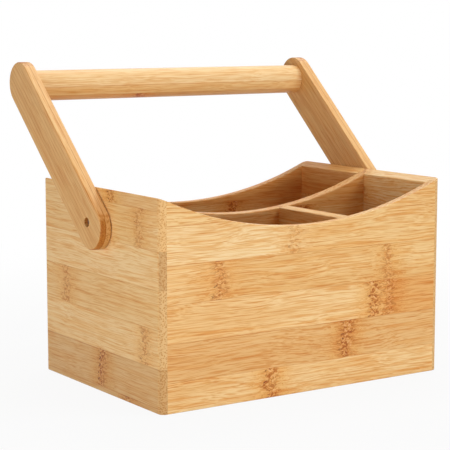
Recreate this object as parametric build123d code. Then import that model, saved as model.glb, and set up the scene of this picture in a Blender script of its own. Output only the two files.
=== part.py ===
from build123d import *
import os

# Bamboo utensil caddy: a glued box of flat boards with three compartments and a carry handle that swings on
# two sunk steel screws. Millimetres, +Z up. +X runs along the front to the right, +Y to the back, and the
# origin is the centre of the box's footprint, on the surface that it stands on.

# Box
BOX_LENGTH = 250.0
BOX_DEPTH = 172.0
BOX_HEIGHT = 150.0  # at the outer faces of the ends, where the tops are highest
SCOOP_DIP = 27.0  # how far the arc across all the tops drops at mid length
FACE_BOARD = 7.0  # front and back boards
END_BOARD = 9.0
DIVIDER_BOARD = 9.0
CORNER_RADIUS = 5.0  # upright outer corners
EDGE_EASE = 0.8  # sanded edges of the box
CROSS_DIVIDER_X = 37.0  # middle of the short divider
BOTTOM_BOARD = 6.0
END_LIP = 5.0  # end grain of the ends that shows beside the front and back boards
BOTTOM_HOUSING = 3.0  # how far the bottom is let into the boards round it
DIVIDER_HOUSING = 2.0  # how far the long divider is let into the ends

# Handle
HANDLE_LEAN = 48.0  # degrees from upright, towards the back
PIVOT_DROP = 25.0  # pivot below the top of the ends
PIVOT_TO_GRIP = 140.0
ARM_WIDTH = 33.0
ARM_THICKNESS = 9.0
ARM_FOOT = 21.3  # pivot to the foot's end
ARM_TIP = 19.0  # grip's middle to the tip
ARM_EASE = 1.0  # sanded edges of the arms
ARM_GAP = 0.4  # between each arm and the end beside it
GRIP_DIAMETER = 23.4
GRIP_SEAT = 4.5  # depth of the grip's blind seat in each arm

# Pivot hardware
SHOULDER_DIAMETER = 5.0
SHOULDER_CLEARANCE = 0.05  # radial, the pivot's running fit
HEAD_DIAMETER = 6.4
HEAD_HEIGHT = 2.6
HEAD_SINK = 2.4  # head's face below the arm's outer face
HEAD_PLAY = 0.2  # under the head
HEAD_CLEARANCE = 0.3  # radial, head in its counterbore
SOCKET_ACROSS_FLATS = 3.0
SOCKET_DEPTH = 1.5
THREAD_DIAMETER = 4.0
THREAD_LENGTH = 5.5
INSERT_DIAMETER = 6.5
INSERT_LENGTH = 6.0
THREAD_CLEARANCE = 0.05  # radial, screw in insert and insert in board

# Places worked out from the sizes
HALF_LENGTH = BOX_LENGTH / 2
HALF_DEPTH = BOX_DEPTH / 2
INNER_HALF_LENGTH = HALF_LENGTH - END_BOARD
INNER_HALF_DEPTH = HALF_DEPTH - FACE_BOARD
SCOOP_RADIUS = (HALF_LENGTH**2 + SCOOP_DIP**2) / (2 * SCOOP_DIP)
PIVOT_Z = BOX_HEIGHT - PIVOT_DROP
ARM_INNER_X = HALF_LENGTH + ARM_GAP
ARM_OUTER_X = ARM_INNER_X + ARM_THICKNESS
HEAD_TOP_X = ARM_OUTER_X - HEAD_SINK
HEAD_UNDER_X = HEAD_TOP_X - HEAD_HEIGHT
SPAN = 2 * (BOX_LENGTH + BOX_DEPTH + BOX_HEIGHT)  # longer than anything here, for cuts that go right through


def block(x_range, y_range, z_range):
    """Box between two coordinates on each axis."""
    size = [high - low for low, high in (x_range, y_range, z_range)]
    middle = [(low + high) / 2 for low, high in (x_range, y_range, z_range)]
    return Pos(*middle) * Box(*size)


def rod_along_x(radius, x_start, x_end, y=0.0, z=0.0):
    """Round bar along X between two coordinates."""
    middle = (x_start + x_end) / 2
    return Pos(middle, y, z) * Rot(0, 90, 0) * Cylinder(radius, abs(x_end - x_start))


def finished_box():
    """The whole box as sanded after gluing: rounded corners, one arc across every top, eased edges."""
    body = extrude(RectangleRounded(BOX_LENGTH, BOX_DEPTH, CORNER_RADIUS), BOX_HEIGHT)
    divider_half = DIVIDER_BOARD / 2
    inside = (BOTTOM_BOARD, SPAN)
    front_row = (-INNER_HALF_DEPTH, -divider_half)
    body -= block((-INNER_HALF_LENGTH, INNER_HALF_LENGTH), (divider_half, INNER_HALF_DEPTH), inside)
    body -= block((-INNER_HALF_LENGTH, CROSS_DIVIDER_X - divider_half), front_row, inside)
    body -= block((CROSS_DIVIDER_X + divider_half, INNER_HALF_LENGTH), front_row, inside)
    arc_middle = Pos(0, 0, BOX_HEIGHT - SCOOP_DIP + SCOOP_RADIUS)
    body -= arc_middle * Rot(90, 0, 0) * Cylinder(SCOOP_RADIUS, SPAN)
    lowest_top = BOX_HEIGHT - SCOOP_DIP - EDGE_EASE
    top_edges = [edge for edge in body.edges() if edge.bounding_box().min.Z > lowest_top]
    body = fillet(top_edges, EDGE_EASE)
    return fillet(body.faces().sort_by(Axis.Z)[0].edges(), EDGE_EASE)


def box_boards():
    """Split the finished box into its boards. Each takes what the boards before it have left."""
    divider_half = DIVIDER_BOARD / 2
    bottom_half_length = INNER_HALF_LENGTH + BOTTOM_HOUSING
    bottom_half_depth = INNER_HALF_DEPTH + BOTTOM_HOUSING
    divider_half_length = INNER_HALF_LENGTH + DIVIDER_HOUSING
    between_lips = (END_LIP - HALF_LENGTH, HALF_LENGTH - END_LIP)
    cross_x = (CROSS_DIVIDER_X - divider_half, CROSS_DIVIDER_X + divider_half)
    above_bottom = (BOTTOM_BOARD, SPAN)
    everywhere = (-SPAN, SPAN)
    places = {
        "bottom_board": (
            (-bottom_half_length, bottom_half_length),
            (-bottom_half_depth, bottom_half_depth),
            (0, BOTTOM_BOARD),
        ),
        "long_divider": (
            (-divider_half_length, divider_half_length),
            (-divider_half, divider_half),
            above_bottom,
        ),
        "cross_divider": (cross_x, (-INNER_HALF_DEPTH, -divider_half), above_bottom),
        "front_board": (between_lips, (-SPAN, -INNER_HALF_DEPTH), everywhere),
        "back_board": (between_lips, (INNER_HALF_DEPTH, SPAN), everywhere),
        "left_end_board": ((-SPAN, -INNER_HALF_LENGTH), everywhere, everywhere),
        "right_end_board": ((INNER_HALF_LENGTH, SPAN), everywhere, everywhere),
    }
    rest = finished_box()
    boards = {}
    for name, place in places.items():
        boards[name] = rest & block(*place)
        rest -= block(*place)
    insert_hole = INSERT_DIAMETER / 2 + THREAD_CLEARANCE
    for name, side in (("left_end_board", -1), ("right_end_board", 1)):
        hole_floor = side * (HALF_LENGTH - INSERT_LENGTH)
        boards[name] -= rod_along_x(insert_hole, hole_floor, side * (HALF_LENGTH + 1), z=PIVOT_Z)
    return boards


def leaned(part):
    """Turn a piece made upright, with the pivot at the origin, back to the handle's place."""
    return Pos(0, 0, PIVOT_Z) * Rot(-HANDLE_LEAN, 0, 0) * part


def arm(side):
    """Flat bar with round ends, its pivot bore counterbored from outside, the grip's seat sunk from inside."""
    length = ARM_FOOT + PIVOT_TO_GRIP + ARM_TIP
    middle_z = (PIVOT_TO_GRIP + ARM_TIP - ARM_FOOT) / 2
    bar = extrude(SlotOverall(length, ARM_WIDTH), ARM_THICKNESS / 2, both=True)
    flats = bar.faces().sort_by(Axis.Z)
    bar = fillet(flats[0].edges() + flats[-1].edges(), ARM_EASE)
    middle_x = side * (ARM_INNER_X + ARM_OUTER_X) / 2
    bar = Pos(middle_x, 0, middle_z) * Rot(0, 90, 0) * bar
    bore = rod_along_x(SHOULDER_DIAMETER / 2 + SHOULDER_CLEARANCE, side * HALF_LENGTH, side * HEAD_TOP_X)
    counterbore = rod_along_x(
        HEAD_DIAMETER / 2 + HEAD_CLEARANCE, side * (HEAD_UNDER_X - HEAD_PLAY), side * (ARM_OUTER_X + 1)
    )
    seat = rod_along_x(
        GRIP_DIAMETER / 2, side * HALF_LENGTH, side * (ARM_INNER_X + GRIP_SEAT), z=PIVOT_TO_GRIP
    )
    return leaned(bar - bore - counterbore - seat)


def grip():
    """Round bar from one blind seat to the other."""
    reach = ARM_INNER_X + GRIP_SEAT
    return leaned(rod_along_x(GRIP_DIAMETER / 2, -reach, reach, z=PIVOT_TO_GRIP))


def pivot_screw(side):
    """Shoulder screw: thread in the insert, shoulder through the arm, socket head in the counterbore."""
    thread = rod_along_x(THREAD_DIAMETER / 2, side * (HALF_LENGTH - THREAD_LENGTH), side * HALF_LENGTH)
    shoulder = rod_along_x(SHOULDER_DIAMETER / 2, side * HALF_LENGTH, side * HEAD_UNDER_X)
    head = rod_along_x(HEAD_DIAMETER / 2, side * HEAD_UNDER_X, side * HEAD_TOP_X)
    screw = thread + shoulder + head
    hexagon = RegularPolygon(SOCKET_ACROSS_FLATS / 2, 6, major_radius=False)
    socket = Rot(0, 90, 0) * extrude(hexagon, SOCKET_DEPTH, both=True)
    return Pos(0, 0, PIVOT_Z) * (screw - Pos(side * HEAD_TOP_X, 0, 0) * socket)


def insert(side):
    """Brass sleeve with the screw's thread, flush with the outside of the end."""
    floor_x = side * (HALF_LENGTH - INSERT_LENGTH)
    sleeve = rod_along_x(INSERT_DIAMETER / 2, floor_x, side * HALF_LENGTH)
    sleeve -= rod_along_x(THREAD_DIAMETER / 2 + THREAD_CLEARANCE, floor_x, side * HALF_LENGTH)
    return Pos(0, 0, PIVOT_Z) * sleeve


os.makedirs("parts", exist_ok=True)
pieces = box_boards()
for side_name, side in (("left", -1), ("right", 1)):
    pieces[side_name + "_arm"] = arm(side)
    pieces[side_name + "_pivot_screw"] = pivot_screw(side)
    pieces[side_name + "_insert"] = insert(side)
pieces["grip"] = grip()
for name, piece in pieces.items():
    export_step(piece, f"parts/{name}.step")
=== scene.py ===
import math
from collections import namedtuple

import bpy
from mathutils import Matrix, Vector


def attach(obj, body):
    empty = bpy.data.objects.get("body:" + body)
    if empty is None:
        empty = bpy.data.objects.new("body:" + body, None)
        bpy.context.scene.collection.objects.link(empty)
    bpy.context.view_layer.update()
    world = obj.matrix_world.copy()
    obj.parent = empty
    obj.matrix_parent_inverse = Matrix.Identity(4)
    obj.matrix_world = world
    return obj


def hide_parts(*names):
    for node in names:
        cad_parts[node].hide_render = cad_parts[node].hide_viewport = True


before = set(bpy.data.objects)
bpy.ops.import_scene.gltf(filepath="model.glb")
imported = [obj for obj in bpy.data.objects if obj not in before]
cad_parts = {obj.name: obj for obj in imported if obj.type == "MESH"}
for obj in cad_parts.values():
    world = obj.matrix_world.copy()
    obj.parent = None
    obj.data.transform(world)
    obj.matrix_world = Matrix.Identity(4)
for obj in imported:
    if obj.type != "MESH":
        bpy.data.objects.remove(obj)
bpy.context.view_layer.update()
bpy.ops.object.select_all(action="DESELECT")


# The bottom is a thin panel of flat bamboo strips glued side by side. Its edges are let into
# grooves round the foot of the four walls, so that it closes the box flush with their lower edges.

def paint(red, green, blue):
    """A colour as it is read off a colour card, 0 to 255, for a shader."""
    return [((c / 255 + 0.055) / 1.055) ** 2.4 if c > 10 else c / 3294 for c in (red, green, blue)] + [1]


# What a strip can look like: culms differ in age, and so do the two sides of a knuckle.
PALE = paint(244, 211, 157)
LIGHT = paint(243, 206, 148)
HONEY = paint(239, 200, 139)
WARM = paint(232, 187, 125)
AMBER = paint(231, 176, 106)
TAN = paint(224, 182, 124)
DUSK = paint(208, 163, 106)

NOWHERE = 0.45  # a knuckle's place that lies off every board
Strip = namedtuple("Strip", "tone beyond knuckle strength second end")


def strip(tone, beyond=None, knuckle=NOWHERE, strength=0.5, second=NOWHERE, end=None):
    """One strip of a board: its tone before and beyond its knuckle, how far along the board the knuckle is and
    how strongly it shows, where a second one is, and the tone of its end grain."""
    return Strip(tone, beyond or tone, knuckle, strength, second, end or TAN)


def node(tree, kind, values=(), **settings):
    """Adds a shader node with its settings, and gives its sockets numbers or the outputs of other nodes."""
    made = tree.nodes.new("ShaderNode" + kind)
    for setting, value in settings.items():
        setattr(made, setting, value)
    for socket, value in values:
        if isinstance(value, bpy.types.NodeSocket):
            tree.links.new(value, made.inputs[socket])
        else:
            made.inputs[socket].default_value = value
    return made


def maths(tree, operation, *values):
    """The result of one sum."""
    return node(tree, "Math", list(enumerate(values)), operation=operation).outputs[0]


def vector_maths(tree, operation, *values):
    """The result of one sum with places or directions."""
    return node(tree, "VectorMath", list(enumerate(values)), operation=operation).outputs[0]


def between(tree, value, low, high, at_low=0.0, at_high=1.0, kind="SMOOTHSTEP"):
    """A soft step from one number to another as value goes from low to high."""
    sockets = [("Value", value), ("From Min", low), ("From Max", high), ("To Min", at_low), ("To Max", at_high)]
    return node(tree, "MapRange", sockets, interpolation_type=kind).outputs[0]


def grain(tree, place, along, across, detail=2.0, swirl=0.0):
    """Noise drawn out along the fibres, with this many marks per metre along and across them."""
    drawn = vector_maths(tree, "MULTIPLY", place, (along, across, across))
    sockets = [("Vector", drawn), ("Scale", 1.0), ("Detail", detail), ("Distortion", swirl)]
    return node(tree, "TexNoise", sockets).outputs["Fac"]


def waver(tree, noise, swing):
    """A shift to and fro by half of swing."""
    return maths(tree, "MULTIPLY_ADD", noise, swing, -swing / 2)


def blended(tree, amount, colour, other, blend_type="MIX"):
    """Goes from one colour to another as far as amount says."""
    sockets = [(0, amount), (6, colour), (7, other)]
    return node(tree, "Mix", sockets, data_type="RGBA", blend_type=blend_type).outputs[2]


def tinted(tree, colour, amount, tint):
    """The colour, multiplied by a tint as far as amount says."""
    return blended(tree, amount, colour, tint, "MULTIPLY")


def board_directions(tree, along, across, centre):
    """Places and normals measured along the fibres, across the strips and through the board."""
    turn = Matrix((along, across, along.cross(across))).transposed().to_euler()
    given = node(tree, "TexCoord")
    place = [("Vector", given.outputs["Object"]), ("Location", centre), ("Rotation", turn)]
    normal = [("Vector", given.outputs["Normal"]), ("Rotation", turn)]
    return [node(tree, "Mapping", sockets, vector_type="TEXTURE").outputs[0] for sockets in (place, normal)]


def by_strip(tree, row, colours):
    """One colour for each strip, with a hard change at each glue line."""
    ramp = node(tree, "ValToRGB", [("Fac", row)])
    steps = ramp.color_ramp
    steps.interpolation = "CONSTANT"
    steps.elements[0].color = colours[0]
    steps.elements[1].color = colours[-1]
    for number, colour in enumerate(colours[1:], 1):
        steps.elements.new(number / len(colours)).color = colour
    return ramp.outputs


KEPT_POSITIVE = 0.5  # added to a knuckle's place while a colour carries it
Culm = namedtuple("Culm", "before beyond end knuckles strength own")


def strip_here(tree, rise, first_edge, width, strips):
    """What the strip at each point is like: its tones, its knuckles and a number of its own."""
    row = between(tree, rise, first_edge, first_edge + width * len(strips), kind="LINEAR")
    before, beyond, end = (
        by_strip(tree, row, [getattr(s, tone) for s in strips])[0] for tone in ("tone", "beyond", "end")
    )
    marks = [
        (s.knuckle + KEPT_POSITIVE, s.strength, (0.137 + 0.381 * number) % 1, s.second + KEPT_POSITIVE)
        for number, s in enumerate(strips)
    ]
    carried, second = by_strip(tree, row, marks)
    first, strength, own = node(tree, "SeparateColor", [(0, carried)]).outputs
    knuckles = [maths(tree, "SUBTRACT", place, KEPT_POSITIVE) for place in (first, second)]
    return Culm(before, beyond, end, knuckles, strength, own)


KNUCKLE_REACH = 0.0105  # where the torn fibres round a knuckle end
HALO_START, HALO_REACH = 0.003, 0.026  # the browner wood round it
SWAY = 0.018  # how far a knuckle wanders to and fro across its strip
SECOND_SHOWS = 0.7  # a second knuckle's strength beside the first
Knuckle = namedtuple("Knuckle", "gaps mark halo")


def knuckle_here(tree, run, culm, this):
    """The knuckle, where the culm had its joint: how far off it is, and how much of it shows at each point."""
    swayed = maths(tree, "ADD", run, waver(tree, grain(tree, culm, 20, 260, 3.0), SWAY))
    gaps = [maths(tree, "SUBTRACT", swayed, place) for place in this.knuckles]
    offs = [maths(tree, "ABSOLUTE", gap) for gap in gaps]
    shown = [between(tree, off, 0.0, KNUCKLE_REACH, full, 0) for off, full in zip(offs, (1, SECOND_SHOWS))]
    mark = maths(tree, "MULTIPLY", maths(tree, "MAXIMUM", *shown), this.strength)
    round_it = between(tree, maths(tree, "MINIMUM", *offs), HALO_START, HALO_REACH, 1, 0)
    return Knuckle(gaps, mark, maths(tree, "MULTIPLY", round_it, this.strength))


DRIFT = 0.012  # how far the fibres stray from the strip's line
CRIMP = 0.008  # and how far at a knuckle
CRIMP_IN_HALO = 0.4
PINCH_REACH, PINCH = 0.007, 0.012  # the fibres are shorter within reach of a knuckle, by pinch


def bent_fibres(tree, culm, knuckle, figure):
    """The fibres drift off the strip's line, and at a knuckle they are short and crimped."""
    drift = waver(tree, grain(tree, culm, 9, 24), DRIFT * figure)
    crimp = waver(tree, grain(tree, culm, 230, 200, 1.0), CRIMP)
    crimped = maths(tree, "MAXIMUM", knuckle.mark, maths(tree, "MULTIPLY", knuckle.halo, CRIMP_IN_HALO))
    aside = maths(tree, "MULTIPLY_ADD", crimp, crimped, drift)
    pinches = [between(tree, gap, -PINCH_REACH, PINCH_REACH, -PINCH, PINCH) for gap in knuckle.gaps]
    bend = node(tree, "CombineXYZ", [(0, maths(tree, "ADD", *pinches)), (1, aside), (2, aside)]).outputs[0]
    return vector_maths(tree, "ADD", culm, bend)


GLUE, GLUE_FADE = 0.0001, 0.0004  # half the width of a glue line, without and with its soft edge


def glue_line(tree, rise, first_edge, width):
    """1 on the line between two strips."""
    line = maths(tree, "FRACT", maths(tree, "DIVIDE", maths(tree, "SUBTRACT", rise, first_edge), width))
    edge = maths(tree, "MULTIPLY", maths(tree, "MINIMUM", line, maths(tree, "SUBTRACT", 1.0, line)), width)
    return between(tree, edge, GLUE, GLUE_FADE, 1, 0)


def end_grain(tree, tone, this, fibres, streak, facing, through, outer_layer):
    """On faces that cut the fibres, the culm's bundles are brown dots in a paler ground. Adds them to the tone,
    and tells where they are."""
    across_fibres = maths(tree, "ABSOLUTE", node(tree, "SeparateXYZ", [(0, facing)]).outputs[0])
    cut = between(tree, across_fibres, 0.2, 0.55)
    tone = blended(tree, cut, tone, this.end)
    ring = maths(
        tree, "MULTIPLY", between(tree, across_fibres, 0.1, 0.25), between(tree, across_fibres, 0.3, 0.6, 1, 0)
    )
    tone = tinted(tree, tone, maths(tree, "MULTIPLY", ring, streak), paint(242, 220, 190))
    squared = vector_maths(tree, "MULTIPLY", fibres, (150, 900, 900))
    bundle = node(tree, "TexVoronoi", [("Vector", squared), ("Scale", 1.0)]).outputs["Distance"]
    dots = maths(tree, "MULTIPLY", cut, between(tree, bundle, 0.25, 0.6, 1, 0))
    tone = tinted(tree, tone, dots, paint(230, 206, 170))
    if outer_layer:
        depth = maths(tree, "ABSOLUTE", through)
        outside = maths(tree, "MULTIPLY", cut, between(tree, depth, outer_layer - GLUE, outer_layer + GLUE))
        tone = tinted(tree, tone, outside, paint(224, 190, 140))
        off_glue = maths(tree, "ABSOLUTE", maths(tree, "SUBTRACT", depth, outer_layer))
        tone = tinted(tree, tone, between(tree, off_glue, GLUE, GLUE_FADE, 1, 0), paint(226, 200, 168))
    return tone, cut


CULMS_APART = 7.0  # metres of noise between one strip and the next
BEYOND_START, BEYOND_REACH = 0.004, 0.02  # where the strip takes its other tone, past its knuckle
PIT_COLUMN = 0.004  # how far before the knuckle's middle the pits run
LACQUER_ROUGH, STREAK_ROUGHER, CUT_ROUGHER = 0.42, 0.08, 0.12


def bamboo(name, along, across, first_edge, width, strips, centre=(0, 0, 0), figure=1.0, outer_layer=None):
    """Lacquered bamboo of glued strips. along is the direction of the fibres, and across that of the row of
    strips. figure is how lively the streaks are, and outer_layer how far out a second layer starts."""
    finish = bpy.data.materials.new(name)
    finish.use_nodes = True
    tree = finish.node_tree
    shader = tree.nodes["Principled BSDF"]
    place, facing = board_directions(tree, Vector(along), Vector(across), centre)
    run, rise, through = node(tree, "SeparateXYZ", [(0, place)]).outputs
    this = strip_here(tree, rise, first_edge, width, strips)

    # each strip is cut from another culm, so its fibres don't run on from its neighbour's
    on = maths(tree, "MULTIPLY", this.own, CULMS_APART)
    slip = node(tree, "CombineXYZ", [(0, on), (2, this.own)]).outputs[0]
    culm = vector_maths(tree, "ADD", place, slip)
    knuckle = knuckle_here(tree, run, culm, this)
    fibres = bent_fibres(tree, culm, knuckle, figure)
    first_gap = knuckle.gaps[0]

    # the strip's two tones, and then its streaks from broad to fine
    tone = blended(tree, between(tree, first_gap, BEYOND_START, BEYOND_REACH), this.before, this.beyond)
    cloud = between(tree, grain(tree, culm, 5, 40), 0.4, 0.65, 0, figure)
    tone = tinted(tree, tone, cloud, paint(249, 240, 226))
    band = between(tree, grain(tree, fibres, 4, 300), 0.48, 0.68, 0, figure)
    tone = tinted(tree, tone, band, paint(251, 238, 216))
    streak = between(tree, grain(tree, fibres, 24, 1000), 0.48, 0.62, 0, figure)
    tone = tinted(tree, tone, streak, paint(243, 218, 184))
    fibre = between(tree, grain(tree, fibres, 50, 2200, 1.0), 0.5, 0.68)
    tone = tinted(tree, tone, fibre, paint(240, 218, 186))

    # the knuckle is browner, with torn fibres, dark and pale, and a column of pits on one side
    tone = tinted(tree, tone, knuckle.halo, paint(248, 230, 196))
    torn = grain(tree, fibres, 110, 520, 2.0, 0.6)
    dark_torn = maths(tree, "MULTIPLY", knuckle.mark, between(tree, torn, 0.48, 0.6))
    pale_torn = maths(tree, "MULTIPLY", knuckle.mark, between(tree, torn, 0.32, 0.46, 0.45, 0))
    tone = tinted(tree, tone, knuckle.mark, paint(245, 232, 210))
    tone = tinted(tree, tone, dark_torn, paint(200, 152, 94))
    tone = blended(tree, pale_torn, tone, PALE)
    off_column = maths(tree, "ABSOLUTE", maths(tree, "ADD", first_gap, PIT_COLUMN))
    column = between(tree, off_column, 0.0004, 0.0011, 1, 0)
    pits = maths(tree, "MULTIPLY", column, between(tree, grain(tree, culm, 90, 520, 1.0), 0.58, 0.64))
    pits = maths(tree, "MULTIPLY", pits, this.strength)
    tone = tinted(tree, tone, pits, paint(160, 118, 76))

    seam = glue_line(tree, rise, first_edge, width)
    tone = tinted(tree, tone, seam, paint(240, 222, 200))
    tone, cut = end_grain(tree, tone, this, fibres, streak, facing, through, outer_layer)
    tree.links.new(tone, shader.inputs["Base Color"])

    # satin lacquer over fibres that still stand a little proud
    rough = maths(tree, "MULTIPLY_ADD", streak, STREAK_ROUGHER, LACQUER_ROUGH)
    tree.links.new(maths(tree, "MULTIPLY_ADD", cut, CUT_ROUGHER, rough), shader.inputs["Roughness"])
    dents = maths(tree, "ADD", maths(tree, "MULTIPLY", fibre, 0.3), maths(tree, "MULTIPLY", dark_torn, 0.7))
    dents = maths(tree, "ADD", dents, maths(tree, "ADD", pits, maths(tree, "MULTIPLY", seam, 0.5)))
    relief = node(tree, "Bump", [("Height", dents), ("Distance", 0.0001), ("Strength", 0.5)], invert=True)
    tree.links.new(relief.outputs[0], shader.inputs["Normal"])
    shader.inputs["Specular IOR Level"].default_value = 0.3
    return finish


def finish_node(name, finish):
    """Gives a CAD piece its finish."""
    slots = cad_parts[name].data.materials
    slots.clear()
    slots.append(finish)


ALONG_BOX, ALONG_DEPTH, UPRIGHT = (1, 0, 0), (0, 1, 0), (0, 0, 1)
BOARD_STRIP = 0.0272  # width of a strip in the box's boards

finish_node("bottom_board", bamboo(
    "bottom_strips", ALONG_BOX, ALONG_DEPTH, -0.1, 0.025,
    [
        strip(WARM, HONEY, 0.06, 0.7),
        strip(HONEY, WARM, -0.05, 0.8),
        strip(LIGHT, HONEY, 0.02, 0.6),
        strip(WARM, WARM, -0.09, 0.9),
        strip(HONEY, LIGHT, 0.085, 0.8),
        strip(WARM, HONEY, -0.02, 0.7),
        strip(HONEY, AMBER, 0.045, 0.9),
        strip(LIGHT, WARM, -0.07, 0.7),
    ],
))


# The long divider runs from end to end down the middle, let a little into both ends. The short one
# is glued across the front row. Both are single boards of five or six strips.

finish_node("long_divider", bamboo(
    "long_divider_strips", ALONG_BOX, UPRIGHT, -0.011, BOARD_STRIP,
    [
        strip(WARM, HONEY, -0.04, 0.7),
        strip(HONEY, WARM, 0.07, 0.8),
        strip(WARM, AMBER, 0.015, 0.8),
        strip(HONEY, HONEY, -0.085, 0.7),
        strip(WARM, HONEY, 0.055, 1.0),
        strip(HONEY, WARM, -0.06, 0.6),
    ],
))
finish_node("cross_divider", bamboo(
    "cross_divider_strips", ALONG_DEPTH, UPRIGHT, -0.008, BOARD_STRIP,
    [
        strip(HONEY, WARM, -0.03, 0.7),
        strip(WARM, HONEY, 0.2, 0.7),
        strip(HONEY, HONEY, -0.055, 0.8),
        strip(WARM, WARM, 0.2, 0.7),
        strip(HONEY, WARM, 0.2, 0.7),
    ],
))


# The front and back are single boards of six or seven strips each, laid with the fibres along the
# box. They sit in rebates between the ends, and their tops are cut to one long arc with the rest.

finish_node("front_board", bamboo(
    "front_strips", ALONG_BOX, UPRIGHT, -0.0057, BOARD_STRIP,
    [
        strip(LIGHT, LIGHT, -0.033, 1.0),
        strip(WARM, WARM, 0.035, 1.0),
        strip(LIGHT, AMBER, 0.062, 1.0, 0.075),
        strip(LIGHT, HONEY, -0.077, 0.7, 0.073),
        strip(PALE, HONEY, -0.012, 0.4),
        strip(HONEY, WARM),
    ],
))
finish_node("back_board", bamboo(
    "back_strips", (-1, 0, 0), UPRIGHT, -0.0157, BOARD_STRIP,
    [
        strip(WARM, HONEY, 0.05, 0.8),
        strip(LIGHT, HONEY, -0.06, 0.8),
        strip(HONEY, WARM, 0.095, 0.9, -0.09),
        strip(HONEY, PALE, 0.01, 0.7),
        strip(WARM, HONEY, -0.045, 1.0),
        strip(AMBER, WARM, 0.07, 0.6),
        strip(AMBER, WARM, -0.1, 0.8),
    ],
))


# The ends are thicker boards that run the full depth, so their end grain shows beside the front and
# back boards, where the upright corners are rounded. The brass inserts for the pivots sink into them.

END_STRIP = 0.0273

finish_node("left_end_board", bamboo(
    "left_end_strips", (0, -1, 0), UPRIGHT, -0.0234, END_STRIP,
    [
        strip(TAN, TAN, 0.042, 0.8, end=DUSK),
        strip(TAN, TAN, 0.004, 1.0, end=DUSK),
        strip(LIGHT, LIGHT, 0.064, 0.6, end=TAN),
        strip(HONEY, HONEY, -0.05, 0.6, end=TAN),
        strip(LIGHT, HONEY, end=DUSK),
        strip(HONEY, LIGHT, 0.058, 0.5, end=WARM),
        strip(HONEY, WARM, 0.019, 1.0, end=WARM),
    ],
    figure=0.7,
))
finish_node("right_end_board", bamboo(
    "right_end_strips", ALONG_DEPTH, UPRIGHT, -0.0134, END_STRIP,
    [
        strip(HONEY, WARM, 0.03, 0.8),
        strip(LIGHT, HONEY, -0.05, 0.9),
        strip(WARM, HONEY, 0.055, 0.6),
        strip(HONEY, LIGHT, -0.01, 0.8),
        strip(PALE, WARM, 0.07, 0.7),
        strip(PALE, AMBER, 0.0, 0.7),
    ],
))


# Brass inserts with a thread for the pivot screws are pressed into the ends, flush with the wood.
# Only the gap beside each arm lets their faces show.

PIVOT = (0, 0, 0.125)


def metal(name, colour, rough, mark):
    """Turned metal: rings from the lathe round the pivot's line, a little duller and lighter in turn."""
    finish = bpy.data.materials.new(name)
    finish.use_nodes = True
    tree = finish.node_tree
    shader = tree.nodes["Principled BSDF"]
    place = node(tree, "TexCoord").outputs["Object"]
    out_of_line = vector_maths(tree, "SUBTRACT", place, PIVOT)
    radial = vector_maths(tree, "MULTIPLY", out_of_line, (0, 1, 1))
    radius = node(tree, "VectorMath", [(0, radial)], operation="LENGTH").outputs["Value"]
    along = node(tree, "SeparateXYZ", [(0, place)]).outputs[0]
    turned = node(tree, "CombineXYZ", [(0, radius), (1, along)]).outputs[0]
    rings = grain(tree, turned, 9000, 3000)
    tone = tinted(tree, colour, between(tree, rings, 0.35, 0.7), mark)
    tree.links.new(tone, shader.inputs["Base Color"])
    tree.links.new(between(tree, rings, 0.3, 0.7, rough, rough + 0.15, "LINEAR"), shader.inputs["Roughness"])
    relief = node(tree, "Bump", [("Height", rings), ("Distance", 0.00002), ("Strength", 0.4)])
    tree.links.new(relief.outputs[0], shader.inputs["Normal"])
    shader.inputs["Metallic"].default_value = 1.0
    return finish


brass = metal("turned_brass", paint(214, 176, 100), 0.3, paint(230, 214, 186))
finish_node("left_insert", brass)
finish_node("right_insert", brass)


# Steel shoulder screws hold the arms: a thread in the insert, a plain shoulder that the arm turns on,
# and a socket head, which sits sunk below the arm's outer face. Each is turned from one bar.

THREAD_END, SHOULDER_START, HEAD_UNDER, HEAD_FACE = 0.1195, 0.125, 0.1294, 0.132
THREAD_RADIUS, SHOULDER_RADIUS, HEAD_RADIUS = 0.002, 0.0025, 0.0032
THREAD_PITCH = 0.0007
GROOVE_HALF_WIDTH = 0.0002
GROOVE_ROOT = 0.84  # of the thread's radius
HEAD_BEVEL = 0.0004
SOCKET_CORNER = 0.00173  # middle to corner
SOCKET_DEPTH = 0.0015
HAIR = 0.00001  # near enough to a plane to lie on it
ALONG_PIVOT = (0, math.pi / 2, 0)


def pick(piece, wanted):
    """In edit mode, selects the faces whose middle and normal are wanted, and nothing else."""
    bpy.ops.object.mode_set(mode="OBJECT")
    for kind in (piece.data.vertices, piece.data.edges):
        kind.foreach_set("select", [False] * len(kind))
    for face in piece.data.polygons:
        face.select = wanted(face.center, face.normal)
    bpy.ops.object.mode_set(mode="EDIT")


def step_out(piece, at, radius_from, radius_to, reach):
    """Draws the bar's end face out to another radius, and then along by reach."""
    pick(piece, lambda middle, normal: middle.x > at - HAIR and normal.x > 0.9)
    scale = radius_to / radius_from
    bpy.ops.mesh.extrude_region_move()
    bpy.ops.transform.resize(value=(1, scale, scale), center_override=(at, 0, PIVOT[2]))
    bpy.ops.mesh.extrude_region_move(TRANSFORM_OT_translate={"value": (reach, 0, 0)})


def draw_in(piece, root):
    """Draws the ring of points at root in to the bottom of a thread groove."""
    bpy.ops.mesh.select_all(action="DESELECT")
    bpy.ops.object.mode_set(mode="OBJECT")
    for point in piece.data.vertices:
        point.select = abs(point.co.x - root) < GROOVE_HALF_WIDTH / 4
    bpy.context.tool_settings.mesh_select_mode = (True, False, False)
    bpy.ops.object.mode_set(mode="EDIT")
    bpy.ops.transform.resize(value=(1, GROOVE_ROOT, GROOVE_ROOT), center_override=(root, 0, PIVOT[2]))
    bpy.context.tool_settings.mesh_select_mode = (False, False, True)


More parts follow.
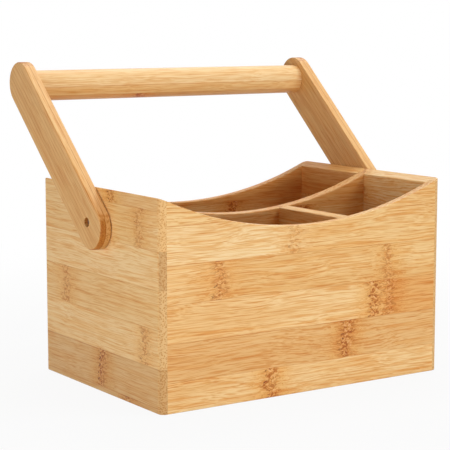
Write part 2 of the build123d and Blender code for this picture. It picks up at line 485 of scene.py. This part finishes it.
bpy.context.tool_settings.mesh_select_mode = (False, False, True)
bpy.ops.mesh.primitive_cylinder_add(
    vertices=48,
    radius=THREAD_RADIUS,
    depth=SHOULDER_START - THREAD_END,
    location=((SHOULDER_START + THREAD_END) / 2, 0, PIVOT[2]),
    rotation=ALONG_PIVOT,
)
screw = bpy.context.object
bpy.ops.object.transform_apply()
for groove in range(int((SHOULDER_START - THREAD_END) / THREAD_PITCH)):
    root = THREAD_END + (groove + 0.5) * THREAD_PITCH
    for cut_at in (root - GROOVE_HALF_WIDTH, root, root + GROOVE_HALF_WIDTH):
        pick(screw, lambda middle, normal: abs(normal.x) < 0.9)
        bpy.ops.mesh.bisect(plane_co=(cut_at, 0, 0), plane_no=(1, 0, 0))
    draw_in(screw, root)
step_out(screw, SHOULDER_START, THREAD_RADIUS, SHOULDER_RADIUS, HEAD_UNDER - SHOULDER_START)
step_out(screw, HEAD_UNDER, SHOULDER_RADIUS, HEAD_RADIUS, HEAD_FACE - HEAD_UNDER)
pick(screw, lambda middle, normal: middle.x > HEAD_FACE - HAIR and normal.x > 0.9)
bpy.ops.mesh.bevel(offset=HEAD_BEVEL, segments=3, affect="EDGES")
bpy.ops.object.mode_set(mode="OBJECT")
bpy.ops.mesh.primitive_cylinder_add(
    vertices=6,
    radius=SOCKET_CORNER,
    depth=2 * SOCKET_DEPTH,
    location=(HEAD_FACE, 0, PIVOT[2]),
    rotation=ALONG_PIVOT,
)
key = bpy.context.object
bpy.ops.object.transform_apply()
bpy.context.view_layer.objects.active = screw
hollow = screw.modifiers.new("socket", "BOOLEAN")
hollow.operation = "DIFFERENCE"
hollow.object = key
bpy.ops.object.modifier_apply(modifier=hollow.name)
bpy.data.objects.remove(key)
screw.data.materials.clear()
screw.data.materials.append(metal("turned_steel", paint(206, 206, 208), 0.25, paint(225, 225, 228)))
for side, heading in (("left", math.pi), ("right", 0)):
    placed = screw.copy()
    placed.data = screw.data.copy()
    placed.name = side + "_shoulder_screw"
    bpy.context.collection.objects.link(placed)
    bpy.ops.object.select_all(action="DESELECT")
    placed.select_set(True)
    bpy.context.view_layer.objects.active = placed
    placed.rotation_euler.z = heading
    bpy.ops.object.transform_apply()
    bpy.ops.object.shade_smooth_by_angle(angle=math.radians(35))
    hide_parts(side + "_pivot_screw")
    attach(placed, "box")
bpy.data.objects.remove(screw)


# The arms are flat bars with round ends, glued up from two layers of narrow strips, of which the
# outer one is browner at its ends. The grip is a round bamboo bar, glued into a seat in each arm.

LEAN = math.radians(48)
UP_THE_ARM = (0, math.sin(LEAN), math.cos(LEAN))
ACROSS_THE_ARM = (0, -math.cos(LEAN), math.sin(LEAN))
TOAST = paint(224, 177, 112)
CRUST = paint(218, 168, 101)
HUSK = paint(198, 148, 84)
ARM_LAYER = 0.1299  # where the arms' two layers meet

arm_tones = [LIGHT, TOAST, TOAST, TOAST, CRUST, TOAST, TOAST, TOAST, TOAST, WARM]
arm_finish = bamboo(
    "arm_strips", UP_THE_ARM, ACROSS_THE_ARM, -0.019, 0.0035,
    [strip(tone, end=CRUST) for tone in arm_tones],
    centre=PIVOT, figure=0.5, outer_layer=ARM_LAYER,
)
finish_node("left_arm", arm_finish)
finish_node("right_arm", arm_finish)
finish_node("grip", bamboo(
    "grip_strips", ALONG_BOX, ACROSS_THE_ARM, -0.014, 0.007,
    [strip(HUSK), strip(AMBER, TOAST, -0.031, 0.9), strip(HONEY), strip(PALE)],
    centre=PIVOT, figure=0.6,
))


# The room: a plain white floor that keeps a soft shadow, soft lamps, and the camera where the
# picture was taken from.

def seen_straight(tree):
    """1 for what the camera, a reflection or glass sees, 0 for the light that falls on the object."""
    path = node(tree, "LightPath")
    mirrored = maths(tree, "MAXIMUM", path.outputs["Is Glossy Ray"], path.outputs["Is Transmission Ray"])
    return maths(tree, "MAXIMUM", path.outputs["Is Camera Ray"], mirrored)


bpy.ops.mesh.primitive_plane_add(size=30, location=(0, 0, 0))
floor = bpy.context.object
floor.name = "floor"
ground = bpy.data.materials.new("white_floor")
ground.use_nodes = True
below = ground.node_tree
paper = below.nodes["Principled BSDF"]
paper.inputs["Base Color"].default_value = (0.55, 0.55, 0.55, 1)
paper.inputs["Roughness"].default_value = 0.9
away = node(below, "VectorMath", [(0, node(below, "TexCoord").outputs["Object"])], operation="LENGTH")
clear = between(below, away.outputs["Value"], 0.2, 0.7, 0.92, 1.0)  # whiter away from the object
glow = node(below, "Emission", [("Color", (1, 1, 1, 1)), ("Strength", 1.0)])
shown = maths(below, "MULTIPLY", seen_straight(below), clear)
mixed = node(below, "MixShader", [(0, shown), (1, paper.outputs[0]), (2, glow.outputs[0])])
below.links.new(mixed.outputs[0], below.nodes["Material Output"].inputs["Surface"])
floor.data.materials.append(ground)

world = bpy.data.worlds.new("studio")
bpy.context.scene.world = world
world.use_nodes = True
air = world.node_tree
air.nodes.clear()
AIR_LIGHT = 0.08  # what the air adds to the lamps
level = between(air, seen_straight(air), 0, 1, AIR_LIGHT, 1.0, "LINEAR")
sky = node(air, "Background", [("Color", (1, 1, 1, 1)), ("Strength", level)])
node(air, "OutputWorld", [("Surface", sky.outputs[0])])

LAMPS_AIM = Vector((0, 0, 0.1))


def lamp(name, place, wide, high, watts):
    """A soft box that points at the caddy."""
    light = bpy.data.lights.new(name, "AREA")
    light.shape = "RECTANGLE"
    light.size = wide
    light.size_y = high
    light.energy = watts
    holder = bpy.data.objects.new(name, light)
    bpy.context.scene.collection.objects.link(holder)
    holder.location = place
    holder.rotation_euler = (LAMPS_AIM - Vector(place)).to_track_quat("-Z", "Y").to_euler()


lamp("front", (0.1, -2.0, 0.12), 2.0, 0.2, 19.3)
lamp("left", (-0.85, -0.2, 0.15), 0.8, 0.2, 2.9)
lamp("right", (1.2, -1.1, 1.7), 1.0, 1.0, 16)
lamp("above", (0.05, 0.4, 2.05), 1.5, 1.5, 22)
lamp("behind", (1.1, 0.9, 1.7), 1.2, 1.2, 11)

viewer = bpy.data.cameras.new("camera")
viewer.lens = 121.66
viewer.sensor_width = 36
camera = bpy.data.objects.new("camera", viewer)
bpy.context.scene.collection.objects.link(camera)
towards_viewer = Vector((-0.5512, -0.8236, 0.1338))
right = Vector((0.8310, -0.5562, 0.0))
up = towards_viewer.cross(right)
camera.matrix_world = (
    Matrix.Translation((-0.6532, -0.9534, 0.2690)) @ Matrix((right, up, towards_viewer)).transposed().to_4x4()
)
bpy.context.scene.camera = camera
bpy.context.scene.view_settings.view_transform = "Standard"
